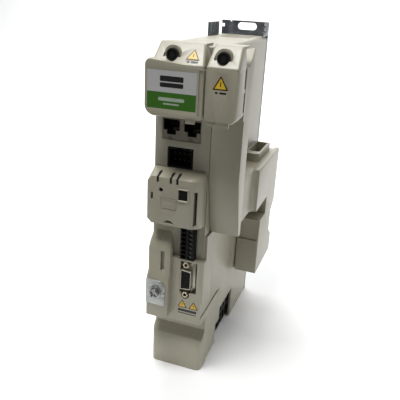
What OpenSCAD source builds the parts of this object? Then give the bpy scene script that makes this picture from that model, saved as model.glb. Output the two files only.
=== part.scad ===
// Slim bookshelf servo drive, built up from its separate mouldings, boards and fittings.
// Working frame: x runs from the left face to the right, y from the front column's face to the
// wall, z up from the base. place() then puts the origin under the middle of the drive.

/* [Case] */
// Width of the main case behind the front
case_w = 42; // [42:1:60]
// Distance from the column's face back to the wall
wall_y = 142; // [118:1:180]
// Depth of the front housings
front_d = 16; // [16:1:22]
// Wall thickness of the mouldings
wall = 2; // [1.6:0.1:2.6]
// Rounding of the long edges of the case
edge_r = 3; // [2.5:0.5:5]
// Visible gap between neighbouring mouldings
seam = 0.3; // [0.2:0.1:0.5]

/* [Front column, heights from the base up] */
// Width of the plain right column
right_w = 21.4; // [18:0.1:30]
// Height of the base below the lower panel
base_h = 46.5; // [38:0.5:60]
// Height of the lower panel with the encoder socket
panel_h = 53.5; // [53:0.5:64]
// How far the lower panel stands forward
panel_out = 4; // [3.6:0.1:5]
// Height of the strip with the control terminal
strip_h = 28.4; // [28.4:0.1:40]
// Height of the keypad pod
pod_h = 39.1; // [38:0.1:50]
// How far the keypad pod stands forward
pod_out = 12; // [11:0.5:16]
// Height of the port zone above the pod
port_h = 38.5; // [38.5:0.5:48]
// Height of the terminal zone under the covers
top_h = 44.5; // [44.5:0.5:54]

/* [Terminal covers] */
// How far the covers stand forward
cover_out = 20; // [18:0.5:26]
// Cover wall thickness
cover_t = 1.8; // [1.4:0.1:2.4]
// Height of a cover's vertical front face
cover_face_h = 33; // [30:0.5:36]
// Radius of the round blanking grommets
grommet_r = 4; // [3.6:0.1:4.4]

/* [Earth pillar] */
// Width of the pillar beside the encoder socket
pillar_w = 17; // [15:0.5:18]
// How far the earth foot stands forward
foot_out = 12.5; // [11:0.5:15]
// Radius of the earth screw's head
earth_head_r = 4; // [3.5:0.1:4.4]

/* [Connectors] */
// Distance between the encoder socket's two lock posts
lock_spacing = 24.99; // [24.99]
// Bore radius of the lock posts
lock_bore_r = 1.2; // [1.1:0.05:1.4]
// Pitch of the control terminal
terminal_pitch = 3.5; // [3.5]
// Number of ways of the control terminal
terminal_ways = 8; // [6:1:8]
// Distance between the two communication ports
port_pitch = 15.1; // [15:0.1:15.4]
// Clear width of one communication port
port_clear_w = 11.8; // [11.7:0.1:12]

/* [Option bay] */
// Distance from the base up to the bay
bay_z = 50.5; // [46:0.5:60]
// Height of the bay's lower block
bay_low_h = 51.5; // [50:0.5:60]
// Height of the open notch above the lower block
bay_notch_h = 16; // [12:0.5:20]
// Height of the bay's upper block
bay_up_h = 35.5; // [32:0.5:40]

/* [Fixing plate] */
// Sheet thickness
sheet_t = 1.5; // [1:0.1:1.6]
// How far the plate stands above the case
plate_up = 11.5; // [11:0.5:16]
// Width of the plate's fixing slot
slot_w = 6; // [5:0.1:6.4]
// End to end length of the plate's fixing slot
slot_len = 17; // [12:0.5:20]

/* [Fan] */
// Side of the square fan
fan_side = 35; // [30:1:36]
// Height of the fan frame
fan_h = 10; // [8:0.5:12]
// Radial clearance between the fan's shaft and its bearing
shaft_gap = 0.05; // [0.02:0.01:0.08]

/* [Hidden] */
$fn = 48;
eps = 0.01;
cut = 1;                                   // how far a cutting shape runs past the wall it cuts
clear = 0.3;                               // free space around a piece that only sits in a hole

panel_z = base_h + panel_h;                // top of the lower panel
pod_z = panel_z + strip_h;                 // underside of the keypad pod
seam_z = pod_z + pod_h;                    // seam between the two left housings
collar_z = seam_z + port_h;                // underside of the terminal collar
case_h = collar_z + top_h;                 // top of the case
column_w = case_w - 1.7;                   // width of the left column with the connectors
body_w = column_w + seam + right_w;        // overall width
case_d = wall_y - 5;                       // back edge of the case moulding
collar_out = 2;                            // the collar under the covers stands forward
collar_top = case_h - 10.5;
base_front = 0.8;                          // the base is set back from the column's face
right_x = column_w + seam;                 // left face of the right column
right_z = collar_z - 87;                   // underside of the right column
board_y = front_d - 2.4;                   // front face of the control board
board_t = 1.6;
board_x0 = wall + 1;

// ---- shared shapes ------------------------------------------------------------------------

// Everything is drawn in the working frame and moved once
module place() {
  translate([-body_w / 2, -(wall_y - cover_out) / 2, 0]) children();
}

module box(lo, hi) {
  translate(lo) cube([hi[0] - lo[0], hi[1] - lo[1], hi[2] - lo[2]]);
}

// An outline drawn in y and z, carried along x
module along_x(x0, x1) {
  translate([x0, 0, 0]) rotate([90, 0, 90]) linear_extrude(x1 - x0) children();
}

// An outline drawn in x and z, carried along y
module along_y(y0, y1) {
  translate([0, y1, 0]) rotate([90, 0, 0]) linear_extrude(y1 - y0) children();
}

module along_z(z0, z1) {
  translate([0, 0, z0]) linear_extrude(z1 - z0) children();
}

module round_rect(lo, hi, r) {
  translate([lo[0] + r, lo[1]]) square([hi[0] - lo[0] - 2 * r, hi[1] - lo[1]]);
  translate([lo[0], lo[1] + r]) square([hi[0] - lo[0], hi[1] - lo[1] - 2 * r]);
  for (x = [lo[0] + r, hi[0] - r], z = [lo[1] + r, hi[1] - r]) translate([x, z]) circle(r);
}

// A round bar along y, from its front end to its back end
module bar_y(x, z, r, y0, y1) {
  translate([x, y1, z]) rotate([90, 0, 0]) cylinder(r = r, h = y1 - y0);
}

// ---- main case ----------------------------------------------------------------------------

opening_y = [38, 85];                      // the motor terminal opening, front and back
opening_z = [20.5, 31.5];                  // its two heights
opening_step = 10.5;                       // the low part at the front
tab_y = [wall_y - 46, wall_y - 19];        // the side sheet's tab above the case

module motor_opening(x0, x1) {
  along_x(x0, x1) polygon([
    [opening_y[0], -cut], [opening_y[1], -cut], [opening_y[1], opening_z[1]],
    [opening_y[0] + opening_step, opening_z[1]], [opening_y[0] + opening_step, opening_z[0]],
    [opening_y[0], opening_z[0]]
  ]);
}

// A shallow wedge pressed into the right side below the lower panel
module side_wedge() {
  wedge_depth = 0.8;
  along_x(case_w - wedge_depth, case_w + cut)
    polygon([[-6, panel_z - 34], [-6, panel_z - 47.6], [42, panel_z - 46.6], [42, panel_z - 46]]);
}

heat_y = wall_y - 54;                      // front face of the heatsink's base plate
fan_y = wall_y - sheet_t - fan_side - 5.5; // front edge of the fan
fan_x = (case_w - fan_side) / 2 + 0.6;
fan_z = 9;
power_x = case_w - 8;                      // the power board stands on edge on the right
power_y = [front_d + 4, heat_y - 10];
board_low_z = 29.5;
fan_axis = [fan_x + fan_side / 2, fan_y + fan_side / 2];

// Posts that carry the fan and rails that hold the power board, inside the case
module case_fixings() {
  for (x = [3, fan_side - 3], y = [3, fan_side - 3])
    translate([fan_x + x, fan_y + y, wall - eps]) cylinder(r = 2.4, h = fan_z - wall + eps);
  for (y = [power_y[0], power_y[1] - 3])
    box([power_x + board_t, y, 60], [case_w - wall + eps, y + 3, case_h - 20]);
}

module rear_case() {
  vent_n = 6;
  vent_pitch = 6.2;
  color("ivory") difference() {
    union() {
      difference() {
        along_y(front_d, case_d) round_rect([0, 0], [case_w, case_h], edge_r);
        along_y(front_d - cut, case_d + cut)
          translate([wall, wall]) square([case_w - 2 * wall, case_h - 2 * wall]);
      }
      case_fixings();
    }
    motor_opening(case_w - wall - cut, case_w + cut);
    box([wall + 2, opening_y[0], -cut], [case_w - wall + eps, opening_y[1], wall + cut]);
    box([case_w - wall - cut, opening_y[1] - 12.6, 68.5], [case_w + cut, opening_y[1] - 11.2, 74.5]);
    side_wedge();
    // outlet slots over the heatsink's fins, inlet slots under the fan
    for (i = [0:vent_n - 1]) {
      box([10, heat_y + 9 + i * vent_pitch, case_h - wall - cut],
          [case_w - 6, heat_y + 12 + i * vent_pitch, case_h + cut]);
      box([fan_x + 3, fan_y + 2 + i * 5.4, -cut],
          [fan_x + fan_side - 3, fan_y + 5 + i * 5.4, wall + cut]);
    }
    box([wall - eps, tab_y[0] - clear, case_h - wall - cut],
        [wall + sheet_t + clear, tab_y[1] + clear, case_h + cut]);
  }
}

// ---- front housings -----------------------------------------------------------------------

port_x = 19.3;                             // middle of the pair of ports
port_z = collar_z - 18.5;                  // underside of the port block
port_block_w = 27.6;
port_block_h = 16.2;
aux_x = [9.8, 28.2];                       // auxiliary supply socket
aux_z = [seam_z + 0.6, seam_z + 14.6];
window_x = [4, column_w - 3.5];            // terminal window in the collar
window_z = [collar_z + 6, collar_top - 2.5];

// Posts on the inside of the front that carry the control board
module board_posts(places) {
  for (at = places) bar_y(at[0], at[1], 1.8, wall - eps, board_y);
}

module upper_front_housing() {
  slope_d = 6;
  color("ivory") board_posts([[35.4, seam_z + 12]]);
  color("ivory") difference() {
    along_x(0, column_w) polygon([
      [0, seam_z + seam], [front_d, seam_z + seam], [front_d, case_h], [slope_d, case_h],
      [0, case_h - slope_d], [0, collar_top], [-collar_out, collar_top],
      [-collar_out, collar_z], [0, collar_z]
    ]);
    along_x(wall, column_w - wall) polygon([
      [wall, seam_z + seam - cut], [front_d + cut, seam_z + seam - cut],
      [front_d + cut, case_h - wall], [slope_d + 1, case_h - wall],
      [wall, case_h - slope_d - 1]
    ]);
    box([port_x - port_block_w / 2 - clear, -cut, port_z - clear],
        [port_x + port_block_w / 2 + clear, wall + cut, port_z + port_block_h + clear]);
    box([aux_x[0] - clear, -cut, seam_z], [aux_x[1] + clear, wall + cut, aux_z[1] + clear]);
    box([window_x[0], -collar_out - cut, window_z[0]], [window_x[1], wall + cut, window_z[1]]);
  }
}

plug_x = [22.8, 34];                       // control terminal
plug_z = panel_z - 0.4;
plug_h = terminal_ways * terminal_pitch + 0.2;
plug_front = -3;
plug_back = 8;
encoder_x = 28.4;                          // middle of the encoder socket
encoder_z = panel_z - 17.1;
flange_w = 12.5;
flange_h = 30.8;
flange_front = 1;
flange_t = 0.8;
foot_z = base_h + 5;                       // underside of the earth foot
foot_h = 31.5;
pillar_top = panel_z + 6;                  // where the pillar's rounded cap starts

// A thin slice of the earth pillar with rounded front corners
module pillar_slice(z, out, x1, r) {
  left_r = 2;
  translate([0, 0, z]) linear_extrude(0.2) {
    translate([left_r, -out]) square([x1 - left_r - r, out + wall]);
    translate([0, left_r - out]) square([x1, out + wall - r - left_r]);
    translate([left_r, left_r - out]) circle(left_r, $fn = 24);
    translate([x1 - r, r - out]) circle(r, $fn = 32);
  }
}

module earth_pillar() {
  shaft_out = 9.5;
  hull() {
    pillar_slice(foot_z, foot_out, pillar_w, 4);
    pillar_slice(foot_z + foot_h, foot_out, pillar_w, 4);
    pillar_slice(foot_z + foot_h + 5, shaft_out, pillar_w, 4);
  }
  hull() {
    pillar_slice(foot_z + foot_h + 5, shaft_out, pillar_w, 4);
    pillar_slice(pillar_top, shaft_out, pillar_w, 4);
  }
  hull() {
    pillar_slice(pillar_top, shaft_out, pillar_w, 4);
    pillar_slice(pillar_top + 5, 6.5, pillar_w - 1, 3.5);
    translate([1, -eps, pillar_top + 12]) cube([pillar_w - 4, wall, 0.2]);
  }
}

module lower_front_housing() {
  inner_x = [wall, column_w - wall];
  color("ivory") board_posts([[5.5, panel_z - 28], [5.5, panel_z + 5], [18.4, panel_z + 12], [5.5, pod_z + 13]]);
  color("ivory") difference() {
    union() {
      box([0, 0, panel_z - eps], [column_w, front_d, seam_z]);
      box([column_w - 2, 1.7, panel_z - eps], [case_w, front_d, right_z - seam]);
      // lower panel, with its right front corner taken off
      along_z(base_h, panel_z) polygon([
        [0, -panel_out], [case_w - 1, -panel_out], [case_w, 1 - panel_out], [case_w, front_d],
        [0, front_d]
      ]);
      earth_pillar();
    }
    box([inner_x[0], wall, base_h + wall], [inner_x[1], front_d + cut, seam_z + cut]);
    box([wall + pillar_w, wall - panel_out, base_h + wall], [column_w - 1.5, wall + eps, panel_z - 1.6]);
    // recess in the earth pillar, a groove beside its shaft
    box([10.2, -foot_out, foot_z + foot_h + 7], [13.4, -6.8, pillar_top]);
    box([encoder_x - 4.4, -panel_out - cut, encoder_z - 11], [encoder_x + 8.6, wall - panel_out + cut, panel_z - 1.6]);
    bar_y(encoder_x, encoder_z - lock_spacing / 2, 3.4, -panel_out - cut, wall - panel_out + cut);
    box([plug_x[0] - clear, -panel_out - cut, plug_z - clear],
        [plug_x[1] + clear, wall + cut, plug_z + plug_h + clear]);
    // openings behind the pod for the display, the button and the card
    box([pod_window_x[0], -cut, pod_z + 19], [pod_window_x[1], wall + cut, pod_z + 29]);
    box([button_x - 4, -cut, button_z - 4], [button_x + 4, wall + cut, button_z + 4]);
    box([card_x - 2, -cut, card_z[0]], [column_w - wall, wall + cut, card_z[1]]);
    bar_y(earth_at[0], earth_at[1], earth_shaft_r, -foot_out - cut, -foot_out + 8);
    side_wedge();
  }
}

module base_housing() {
  hollow_r = 9;
  corner_r = 4.5;
  top_set = base_front + 8;
  color("ivory") difference() {
    intersection() {
      along_x(0, case_w) difference() {
        translate([base_front, 0]) square([front_d - base_front, base_h]);
        translate([base_front, base_h - 25.5 + hollow_r]) circle(1.2);
        polygon([[base_front - cut, base_h - 25], [base_front, base_h - 25],
                 [base_front + 2, base_h - 19], [top_set, base_h - 12],
                 [top_set, base_h + cut], [base_front - cut, base_h + cut]]);
      }
      along_z(0, base_h) union() {
        round_rect([0, base_front], [case_w, front_d], corner_r);
        translate([0, base_front + corner_r]) square([case_w, front_d - base_front - corner_r]);
      }
    }
    box([wall, base_front + wall, wall], [case_w - wall, front_d + cut, base_h - 22]);
    box([wall, top_set + wall, wall], [case_w - wall, front_d + cut, base_h - wall]);
  }
}

// The plain right column: upright at the top, leaning back towards its foot
module right_housing() {
  lean = 11;
  bend_z = right_z + 44;
  back_t = wall;
  slope = [[front_d - 11, collar_top], [front_d - 1.5, case_h]];
  color("ivory") difference() {
    along_x(right_x, body_w) polygon([
      [lean, right_z], [front_d, right_z], [front_d, case_h], slope[1], slope[0],
      [-collar_out, collar_top], [-collar_out, collar_z], [0, collar_z], [0, bend_z]
    ]);
    along_x(right_x + wall, body_w - wall) polygon([
      [lean + wall, right_z + wall], [front_d - back_t, right_z + wall],
      [front_d - back_t, collar_top - wall], [wall, collar_top - wall], [wall, bend_z]
    ]);
    box([right_x + 3, -collar_out - cut, window_z[0]],
        [body_w - 3, wall + cut, window_z[1]]);
    // passage for the bus conductors into the case
    box([right_x - cut, wall + 2, window_z[0]],
        [right_x + wall + cut, front_d - back_t - 2, window_z[1]]);
  }
}

// ---- option bay ---------------------------------------------------------------------------

bay_low_top = bay_z + bay_low_h;
bay_up_z = bay_low_top + bay_notch_h;
bay_top = bay_up_z + bay_up_h;
bay_step_y = 66;                           // front of the bay's wide part
bay_low_y = 86;                            // front face of the lower block
bay_spine_y = 105;                         // back of the open notch
bay_neck_w = 15;                           // the neck towards the right column is narrower
pocket_x = [case_w + 1.4, case_w + 10.6];
pocket_y = [wall_y - 42, wall_y - 10];
pocket_rim = 5.5;

module bay_housing() {
  fillet = 4;
  ridge = 1.5;
  ridge_r = 2;
  low_gap = 1.3;
  x1 = body_w;
  neck_x = case_w + bay_neck_w;
  neck_z = max(right_z, bay_up_z);
  rear_set = 11;
  color("ivory") difference() {
    union() {
      box([case_w, front_d, neck_z], [neck_x, bay_step_y + 4, bay_top]);
      // wide part, with a rounded ridge standing along its outer top edge
      along_y(bay_step_y, wall_y) union() {
        translate([case_w, bay_up_z]) square([x1 - case_w, bay_up_h - ridge_r]);
        translate([case_w, bay_up_z]) square([x1 - case_w - ridge_r, bay_up_h - ridge]);
        translate([x1 - 2 * ridge_r, bay_up_z]) square([ridge_r, bay_up_h]);
        translate([x1 - ridge_r, bay_top - ridge_r]) circle(ridge_r);
      }
      // hollow curve from the neck out to the wide part
      along_z(bay_up_z, bay_top) difference() {
        translate([neck_x - eps, bay_step_y - fillet]) square([fillet, fillet + eps]);
        translate([neck_x + fillet, bay_step_y - fillet]) circle(fillet);
      }
      box([case_w, bay_spine_y, bay_low_top - eps], [x1, wall_y, bay_up_z + eps]);
      box([case_w, bay_low_y, bay_z], [x1, wall_y, bay_low_top]);
      box([case_w, pocket_y[0] - 8, bay_top - ridge - wall], [pocket_x[1] + 2, pocket_y[1] + 2, bay_top + pocket_rim]);
    }
    box([case_w - cut, front_d + wall, neck_z + wall],
        [neck_x - wall, bay_step_y + 2 * wall, bay_top - wall]);
    box([case_w - cut, bay_step_y + wall, bay_up_z + wall],
        [x1 - wall, wall_y - wall, bay_top - wall - 12]);
    box([case_w - cut, bay_low_y + 2 * wall, bay_z + wall],
        [x1 - wall, wall_y - rear_set - wall, bay_low_top - wall]);
    box([case_w - cut, bay_spine_y + wall, bay_low_top - 2 * wall],
        [x1 - wall, wall_y - rear_set - wall, bay_up_z + 2 * wall]);
    // the pocket on top, open upwards
    box([pocket_x[0], pocket_y[0], bay_top - 10], [pocket_x[1], pocket_y[1], bay_top + pocket_rim + cut]);
    // shallow field on the lower block's front face
    box([case_w - cut, bay_low_y - cut, bay_z + 31.5], [x1 - 1.5, bay_low_y + 1.5, bay_low_top - 1.5]);
    // gap between the lower block's front and the case
    box([case_w - cut, bay_low_y - cut, bay_z - cut], [case_w + low_gap, bay_low_y + 3, bay_low_top - 4]);
    // hollow in the back of the lower block
    along_x(case_w - cut, x1 + cut) polygon([
      [wall_y + cut, bay_z + 16], [wall_y - rear_set, bay_z + 25], [wall_y - rear_set, bay_z + 45],
      [wall_y + cut, bay_z + 53.5]
    ]);
  }
}

// ---- fixing plate, side sheet and heatsink ------------------------------------------------

plate_top = case_h + plate_up;
plate_slot_x = case_w / 2 + 2;
plate_slot_z = case_h + 7.1;
boss_x = [13, case_w - 10];
boss_z = [70, case_h - 40];
screw_r = 1.5;
head_r = 3;

module back_plate() {
  ear_y = wall_y - 19;
  low_slot_h = 9;
  color("silver") difference() {
    union() {
      box([0, wall_y - sheet_t, 0], [case_w, wall_y, plate_top]);
      for (x = [0, case_w - sheet_t])
        box([x, case_d, 4], [x + sheet_t, wall_y - sheet_t + eps, case_h - 1]);
      box([case_w - sheet_t, ear_y, case_h + clear], [case_w, wall_y - sheet_t + eps, plate_top]);
    }
    // long fixing slot at the top
    along_y(wall_y - sheet_t - cut, wall_y + cut) union() {
      translate([plate_slot_x - slot_len / 2 + slot_w / 2, plate_slot_z - slot_w / 2])
        square([slot_len - slot_w, slot_w]);
      for (s = [-1, 1]) translate([plate_slot_x + s * (slot_len - slot_w) / 2, plate_slot_z])
        circle(slot_w / 2);
    }
    // open slot at the bottom that hooks over a screw already in the wall
    along_y(wall_y - sheet_t - cut, wall_y + cut) union() {
      translate([case_w / 2 - slot_w / 2, -cut]) square([slot_w, low_slot_h + cut]);
      translate([case_w / 2, low_slot_h]) circle(slot_w / 2);
    }
    box([-cut, wall_y - sheet_t - cut, plate_top - 5.6], [2.6, wall_y + cut, plate_top - 3]);
    box([7.6, wall_y - sheet_t - cut, plate_top - 1.2], [9, wall_y + cut, plate_top + cut]);
    // teeth along the ear's front edge
    for (z = [plate_top - 2.6, plate_top - 6.6])
      box([case_w - sheet_t - cut, ear_y - cut, z - 1.3], [case_w + cut, ear_y + 5, z]);
    for (x = boss_x, z = boss_z) bar_y(x, z, head_r + 0.1, wall_y - sheet_t - cut, wall_y + cut);
  }
}

module side_sheet() {
  inner_t = 1.2;
  slot = [2.2, 6.6];
  color("silver") difference() {
    union() {
      box([wall, 60, 34], [wall + inner_t, tab_y[1], case_h - wall]);
      box([wall, tab_y[0], case_h - wall - eps], [wall + inner_t, tab_y[1], plate_top - 0.8]);
    }
    for (y = [tab_y[0] + 8, tab_y[0] + 17])
      box([wall - cut, y, case_h + 3.4], [wall + inner_t + cut, y + slot[0], case_h + 3.4 + slot[1]]);
  }
}

sink_x = [wall + 3, case_w - wall - 0.4];
sink_z = [42, case_h - 12];
sink_base_t = 6;

module heatsink() {
  fins = 9;
  fin_t = 1.5;
  pitch = (sink_x[1] - sink_x[0] - fin_t) / (fins - 1);
  color("gainsboro") difference() {
    union() {
      box([sink_x[0], heat_y, sink_z[0]], [sink_x[1], heat_y + sink_base_t, sink_z[1]]);
      for (i = [0:fins - 1])
        box([sink_x[0] + i * pitch, heat_y + sink_base_t - eps, sink_z[0]],
            [sink_x[0] + i * pitch + fin_t, wall_y - sheet_t, sink_z[1]]);
      for (x = boss_x, z = boss_z) bar_y(x, z, head_r + 1, heat_y + sink_base_t - eps, wall_y - sheet_t);
    }
    for (x = boss_x, z = boss_z) bar_y(x, z, screw_r, wall_y - 14, wall_y);
  }
}

module plate_screws() {
  for (x = boss_x, z = boss_z) color("dimgray") difference() {
    union() {
      bar_y(x, z, head_r, wall_y - sheet_t, wall_y - 0.2);
      bar_y(x, z, screw_r, wall_y - 13, wall_y - sheet_t + eps);
    }
    for (turn = [0, 90]) translate([x, wall_y, z]) rotate([0, turn, 0])
      cube([3.2, 2, 0.7], center = true);
  }
}

// ---- fan ----------------------------------------------------------------------------------

shaft_r = 1.5;
rotor_r = fan_side / 2 - 1.7;
hub_r = 8;

module fan_frame() {
  hub_h = 2;
  color("dimgray") difference() {
    union() {
      difference() {
        box([fan_x, fan_y, fan_z], [fan_x + fan_side, fan_y + fan_side, fan_z + fan_h]);
        translate([fan_axis[0], fan_axis[1], fan_z - cut]) cylinder(r = fan_side / 2 - 1.1, h = fan_h + 2 * cut);
      }
      translate([fan_axis[0], fan_axis[1], fan_z]) cylinder(r = hub_r, h = hub_h);
      intersection() {
        translate([fan_axis[0], fan_axis[1], fan_z]) for (a = [45:90:315]) rotate([0, 0, a])
          translate([0, -1, 0]) cube([fan_side, 2, hub_h]);
        box([fan_x + 1, fan_y + 1, fan_z], [fan_x + fan_side - 1, fan_y + fan_side - 1, fan_z + fan_h]);
      }
    }
    translate([fan_axis[0], fan_axis[1], fan_z - cut]) cylinder(r = shaft_r + shaft_gap, h = hub_h + 2 * cut);
    for (x = [3, fan_side - 3], y = [3, fan_side - 3])
      translate([fan_x + x, fan_y + y, fan_z - cut]) cylinder(r = 1.4, h = fan_h + 2 * cut);
  }
}

module fan_rotor() {
  blades = 7;
  blade_tilt = 38;
  lift = 2.5;
  color("black") translate([fan_axis[0], fan_axis[1], fan_z]) {
    cylinder(r = shaft_r, h = lift + 1);
    translate([0, 0, lift]) cylinder(r = hub_r, h = fan_h - lift - 0.5);
    intersection() {
      for (i = [0:blades - 1]) rotate([0, 0, i * 360 / blades]) translate([hub_r - 1, 0, fan_h / 2 + 1])
        rotate([blade_tilt, 0, 0]) translate([0, -5, -0.5]) cube([rotor_r, 10, 1]);
      translate([0, 0, lift]) cylinder(r = rotor_r, h = fan_h - lift - 0.5);
    }
  }
}

// ---- boards and power parts ---------------------------------------------------------------

module power_board() {
  color("darkgreen")
    box([power_x, power_y[0], board_low_z], [power_x + board_t, power_y[1], case_h - 12]);
}

module control_board() {
  color("darkgreen") box([board_x0, board_y, panel_z - 36],
                         [column_w - wall - 1, board_y + board_t, collar_z]);
}

can_r = 11;

module bus_capacitors() {
  can_y = [power_y[0] + can_r + 1, power_y[0] + 3 * can_r + 3];
  for (y = can_y, z = [case_h - 101, case_h - 76]) color("midnightblue") difference() {
    translate([6, y, z]) rotate([0, 90, 0]) cylinder(r = can_r, h = power_x - 6);
    translate([5, y, z]) rotate([0, 90, 0]) cylinder(r = can_r - 3, h = 1.4);
  }
}

module power_module() {
  color("black") box([9, heat_y - 8, 92], [case_w - 11, heat_y, 140]);
}

module rectifier() {
  color("black") box([11, heat_y - 7, case_h - 88], [case_w - 13, heat_y, case_h - 64]);
}

module supply_transformer() {
  color("goldenrod") box([power_x - 20, power_y[0] + 8, 100], [power_x, power_y[0] + 30, 124]);
}

supply_ways = 5;
bus_ways = 2;
block_z = [window_z[0] + 1, window_z[1] - 1];

// A power terminal block: one well for a wire and one for its screw in each way
module power_block(x0, x1, back, ways) {
  pitch = (x1 - x0) / ways;
  difference() {
    box([x0, 0.6 - collar_out, block_z[0]], [x1, back, block_z[1]]);
    for (i = [0:ways - 1]) {
      translate([x0 + (i + 0.5) * pitch, 3, block_z[1] - 7]) cylinder(r = 1.9, h = 8);
      bar_y(x0 + (i + 0.5) * pitch, block_z[0] + 5.5, 2.2, -collar_out, 5);
    }
  }
}

supply_x = [window_x[0] + 1, window_x[1] - 1];
bus_x = [right_x + 3.6, body_w - 3.6];

module supply_terminals() {
  color("darkolivegreen") power_block(supply_x[0], supply_x[1], power_y[0], supply_ways);
}

module bus_terminals() {
  color("darkolivegreen") power_block(bus_x[0], bus_x[1], front_d - wall, bus_ways);
}

motor_x = [6, case_w - wall - 1];
motor_y = [opening_y[0] + opening_step + 1.5, opening_y[1] - 2];
motor_z = [5, board_low_z];
motor_ways = 4;

module motor_terminals() {
  pitch = (motor_y[1] - motor_y[0]) / motor_ways;
  color("dimgray") difference() {
    union() {
      box([motor_x[0], motor_y[0], motor_z[0]], [motor_x[1], motor_y[1], motor_z[1]]);
      box([motor_x[0], opening_y[0] + 1.2, motor_z[0]], [motor_x[1], motor_y[0] + eps, opening_z[0] - 1.5]);
    }
    for (i = [0:motor_ways - 1]) {
      y = motor_y[0] + (i + 0.5) * pitch;
      box([motor_x[0] + 6, y - 1.8, motor_z[0] - cut], [motor_x[0] + 14, y + 1.8, motor_z[0] + 12]);
      translate([motor_x[1] - 8, y, motor_z[1] - 8]) rotate([0, 90, 0]) cylinder(r = 2.3, h = 9);
      box([motor_x[1] - 1.2, y - 2.9, motor_z[0] + 2], [motor_x[1] + cut, y + 2.9, motor_z[1] - 13]);
    }
  }
}

module terminal_screws() {
  head = 2;
  color("silver") {
    for (i = [0:supply_ways - 1])
      bar_y(supply_x[0] + (i + 0.5) * (supply_x[1] - supply_x[0]) / supply_ways, block_z[0] + 5.5, head, 1, 5);
    for (i = [0:bus_ways - 1])
      bar_y(bus_x[0] + (i + 0.5) * (bus_x[1] - bus_x[0]) / bus_ways, block_z[0] + 5.5, head, 1, 5);
    for (i = [0:motor_ways - 1])
      translate([motor_x[1] - 8, motor_y[0] + (i + 0.5) * (motor_y[1] - motor_y[0]) / motor_ways, motor_z[1] - 8])
        rotate([0, 90, 0]) cylinder(r = head, h = 4);
  }
}

// ---- keypad pod ---------------------------------------------------------------------------

pod_window_x = [23.4, 30];
pod_window_z = [pod_z + 20.4, pod_z + 27.8];
button_x = 10.3;
button_z = pod_z + 25.9;
button_r = 1.45;
card_x = column_w - 4.9;                   // middle of the long card slot
card_z = [pod_z + 2.2, pod_z + 27.5];
card_w = 2.2;
pod_skin = 2;

module keypad_pod() {
  shoulder = 8.5;
  pod_x1 = column_w - 0.8;
  front_top = pod_z + 35.1;
  chamfer = 3.2;
  slit_w = 1.7;
  color("ivory") difference() {
    hull() {
      along_y(-pod_out, -pod_out + 0.2) polygon([
        [0, pod_z + chamfer], [0, front_top - 1.2 * chamfer], [chamfer, front_top],
        [pod_x1 - shoulder, front_top], [pod_x1 - shoulder, pod_z], [chamfer, pod_z]
      ]);
      along_y(-0.2, 0) polygon([
        [0, pod_z + 1], [0, seam_z - 1], [1.5, seam_z - seam], [pod_x1 - 1.5, seam_z - seam],
        [pod_x1, seam_z - 2], [pod_x1, pod_z], [chamfer, pod_z]
      ]);
      translate([pod_x1 - shoulder, shoulder - pod_out, pod_z]) cylinder(r = shoulder, h = 35, $fn = 64);
    }
    box([-cut, 0, pod_z - cut], [column_w, shoulder, seam_z]);
    box([pod_skin + 1, pod_skin - pod_out, pod_z + pod_skin], [card_x - card_w, cut, pod_z + 32]);
    // slits that wrap over the top edge
    for (x = [7.7, 17.4, 22.2])
      box([x - slit_w / 2, -pod_out - cut, pod_z + 31.2], [x + slit_w / 2, -4, seam_z]);
    box([pod_window_x[0], -pod_out - cut, pod_window_z[0]], [pod_window_x[1], 0, pod_window_z[1]]);
    bar_y(button_x, button_z, button_r + 0.08, -pod_out - cut, 0);
    box([2.6, -pod_out - cut, pod_z + 17.8], [4.3, -pod_out + 2.4, pod_z + 23]);
    box([card_x - card_w / 2, -pod_out - cut, card_z[0]], [card_x + card_w / 2, cut, card_z[1]]);
    // finger notch at the lower edge
    along_y(-pod_out - cut, -pod_out + pod_skin + cut) polygon([
      [11.6, pod_z + 1.6], [14, pod_z + 2.4], [14.8, pod_z + 3.6], [18, pod_z + 3.6],
      [20.8, pod_z + 1.6]
    ]);
    // raised field, left standing inside a shallow frame
    along_y(-pod_out - cut, -pod_out + 0.25) difference() {
      translate([10.2, pod_z + 12.4]) square([12, 8]);
      translate([10.8, pod_z + 13]) square([10.8, 6.8]);
    }
  }
}

module display_window() {
  color("black") box([pod_window_x[0], -pod_out + 0.7, pod_window_z[0]],
                     [pod_window_x[1], -pod_out + 1.9, pod_window_z[1]]);
}

module display_module() {
  color("dimgray") box([pod_window_x[0] + 0.4, -pod_out + 2.4, pod_window_z[0] + 0.3],
                       [pod_window_x[1] - 0.4, board_y, pod_window_z[1] - 0.3]);
}

button_travel = 0.8;

module reset_button() {
  color("darkred") {
    bar_y(button_x, button_z, button_r, -pod_out + 0.6, pod_skin - pod_out + 1);
    bar_y(button_x, button_z, 2.4, pod_skin - pod_out + 0.3, pod_skin - pod_out + 1.6);
    bar_y(button_x, button_z, 1.1, pod_skin - pod_out + 1, -2);
  }
}

module reset_switch() {
  color("black") box([button_x - 3, -2 + button_travel + 0.1, button_z - 3],
                     [button_x + 3, board_y, button_z + 3]);
}

module card_socket() {
  socket_x1 = column_w - wall - 0.4;
  color("black") difference() {
    box([card_x - 2, wall + 1.6, card_z[0] + 0.6], [socket_x1, board_y, card_z[1] - 0.6]);
    box([card_x - card_w / 2, wall, card_z[0] + 1.4], [card_x + card_w / 2, board_y - 2, card_z[1] - 1.4]);
  }
}

module status_lens() {
  color("palegreen") box([2.6, -pod_out + 1.2, pod_z + 17.8], [4.3, -pod_out + 2.4, pod_z + 23]);
}

// ---- communication ports and auxiliary socket ---------------------------------------------

port_front = 0.4;
port_depth = 10;
port_cavity_z = port_z + 3.4;
port_cavity_h = 10.6;
latch_w = 6.6;

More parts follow.
